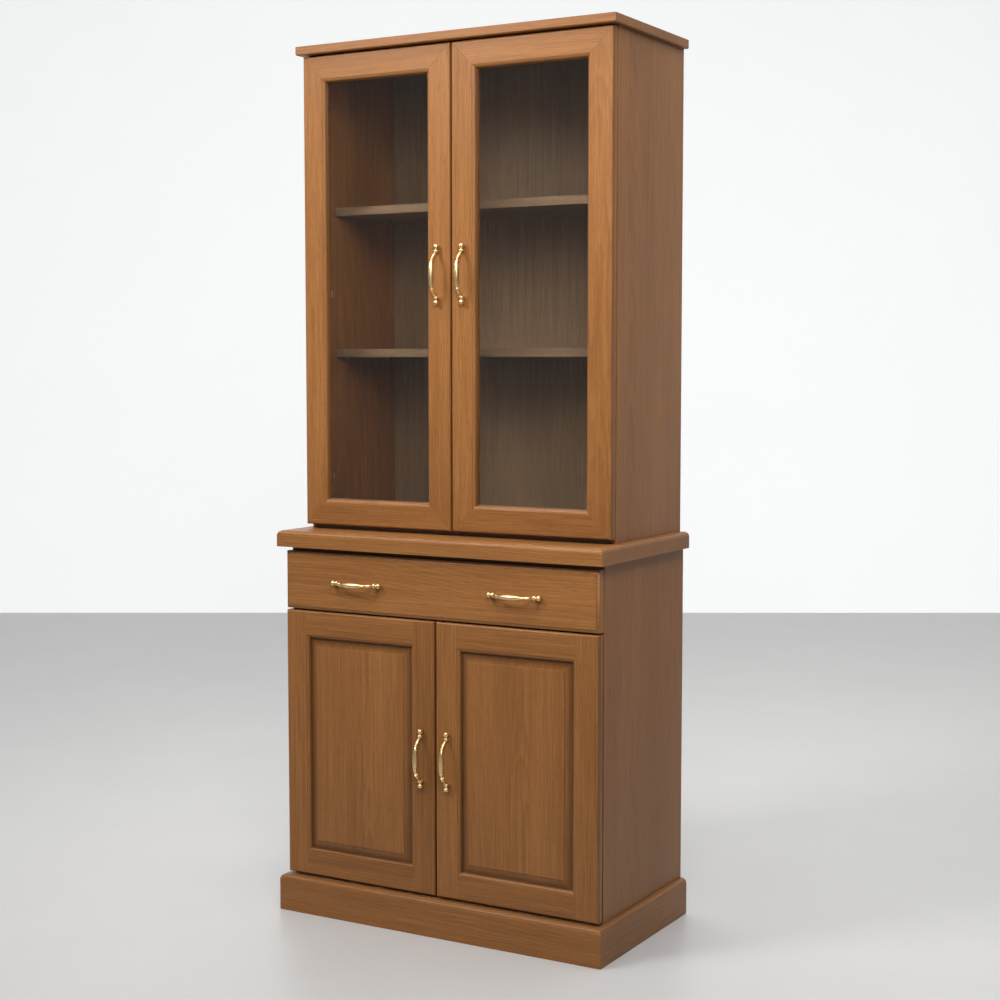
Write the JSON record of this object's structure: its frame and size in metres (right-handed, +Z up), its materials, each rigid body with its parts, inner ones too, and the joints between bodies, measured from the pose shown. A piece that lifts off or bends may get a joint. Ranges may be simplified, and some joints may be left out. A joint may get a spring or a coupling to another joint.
{
  "type": "dresser with hutch",
  "caption": "Two-piece cabinet: raised-panel doors under a wide drawer, with a glazed hutch standing on the countertop.",
  "frame": {"origin": "middle of the floor area that the whole piece covers, pulls included", "axes": "+Z up, +Y to the wall behind, +X to the right of someone who faces the doors"},
  "size_m": [0.84, 0.4632, 2],
  "materials": {
    "stained_wood": "satin lacquer over a warm brown stain",
    "hardwood": "clear sealed",
    "plywood": "stained, matt",
    "brass": "satin",
    "steel": "nickel plated",
    "glass": "clear"
  },
  "bodies": {
    "cabinet": {"plinth_front": "stained_wood", "plinth_left": "stained_wood", "plinth_right": "stained_wood", "plinth_back": "stained_wood", "plinth_cleats": "hardwood", "base_side_left": "stained_wood", "base_side_right": "stained_wood", "base_bottom": "stained_wood", "base_back_panel": "plywood", "base_top_rails": "stained_wood", "drawer_divider_rail": "stained_wood", "drawer_runners": "hardwood", "base_shelf": "stained_wood", "shelf_pins": "steel", "countertop": "stained_wood", "countertop_edging": "stained_wood", "hutch_dowels": "hardwood", "hutch_side_left": "stained_wood", "hutch_side_right": "stained_wood", "hutch_bottom": "stained_wood", "hutch_back_panel": "plywood", "hutch_shelf_upper": "stained_wood", "hutch_shelf_lower": "stained_wood", "top_board": "stained_wood", "base_hinge_arms": "steel", "hutch_hinge_arms": "steel"},
    "drawer": {"drawer_front": "stained_wood", "drawer_side_left": "hardwood", "drawer_side_right": "hardwood", "drawer_box_front": "hardwood", "drawer_box_back": "hardwood", "drawer_bottom": "plywood", "drawer_pull_left": "brass", "drawer_pull_right": "brass"},
    "base_door_left": {"base_door_left_outer_stile": "stained_wood", "base_door_left_inner_stile": "stained_wood", "base_door_left_rails": "stained_wood", "base_door_left_panel": "stained_wood", "base_door_left_pull": "brass", "base_door_left_hinge_cups": "steel"},
    "hutch_door_left": {"hutch_door_left_outer_stile": "stained_wood", "hutch_door_left_inner_stile": "stained_wood", "hutch_door_left_rails": "stained_wood", "hutch_door_left_glass": "glass", "hutch_door_left_glazing_beads": "stained_wood", "hutch_door_left_pull": "brass", "hutch_door_left_hinge_cups": "steel"},
    "base_door_right": {"base_door_right_outer_stile": "stained_wood", "base_door_right_inner_stile": "stained_wood", "base_door_right_rails": "stained_wood", "base_door_right_panel": "stained_wood", "base_door_right_pull": "brass", "base_door_right_hinge_cups": "steel"},
    "hutch_door_right": {"hutch_door_right_outer_stile": "stained_wood", "hutch_door_right_inner_stile": "stained_wood", "hutch_door_right_rails": "stained_wood", "hutch_door_right_glass": "glass", "hutch_door_right_glazing_beads": "stained_wood", "hutch_door_right_pull": "brass", "hutch_door_right_hinge_cups": "steel"}
  },
  "joints": [
    {"name": "base_door_left_hinge", "type": "hinge", "parent": "cabinet", "child": "base_door_left", "pos_m": [-0.3945, -0.18335, 0.399], "axis": [0, 0, -1], "range_deg": [0, 105]},
    {"name": "hutch_door_left_hinge", "type": "hinge", "parent": "cabinet", "child": "hutch_door_left", "pos_m": [-0.3865, -0.11335, 1.4395], "axis": [0, 0, -1], "range_deg": [0, 105]},
    {"name": "base_door_right_hinge", "type": "hinge", "parent": "cabinet", "child": "base_door_right", "pos_m": [0.3945, -0.18335, 0.399], "axis": [0, 0, 1], "range_deg": [0, 105]},
    {"name": "hutch_door_right_hinge", "type": "hinge", "parent": "cabinet", "child": "hutch_door_right", "pos_m": [0.3865, -0.11335, 1.4395], "axis": [0, 0, 1], "range_deg": [0, 105]},
    {"name": "drawer_slide", "type": "slide", "parent": "cabinet", "child": "drawer", "axis": [0, -1, 0], "range_m": [0, 0.3]}
  ]
}
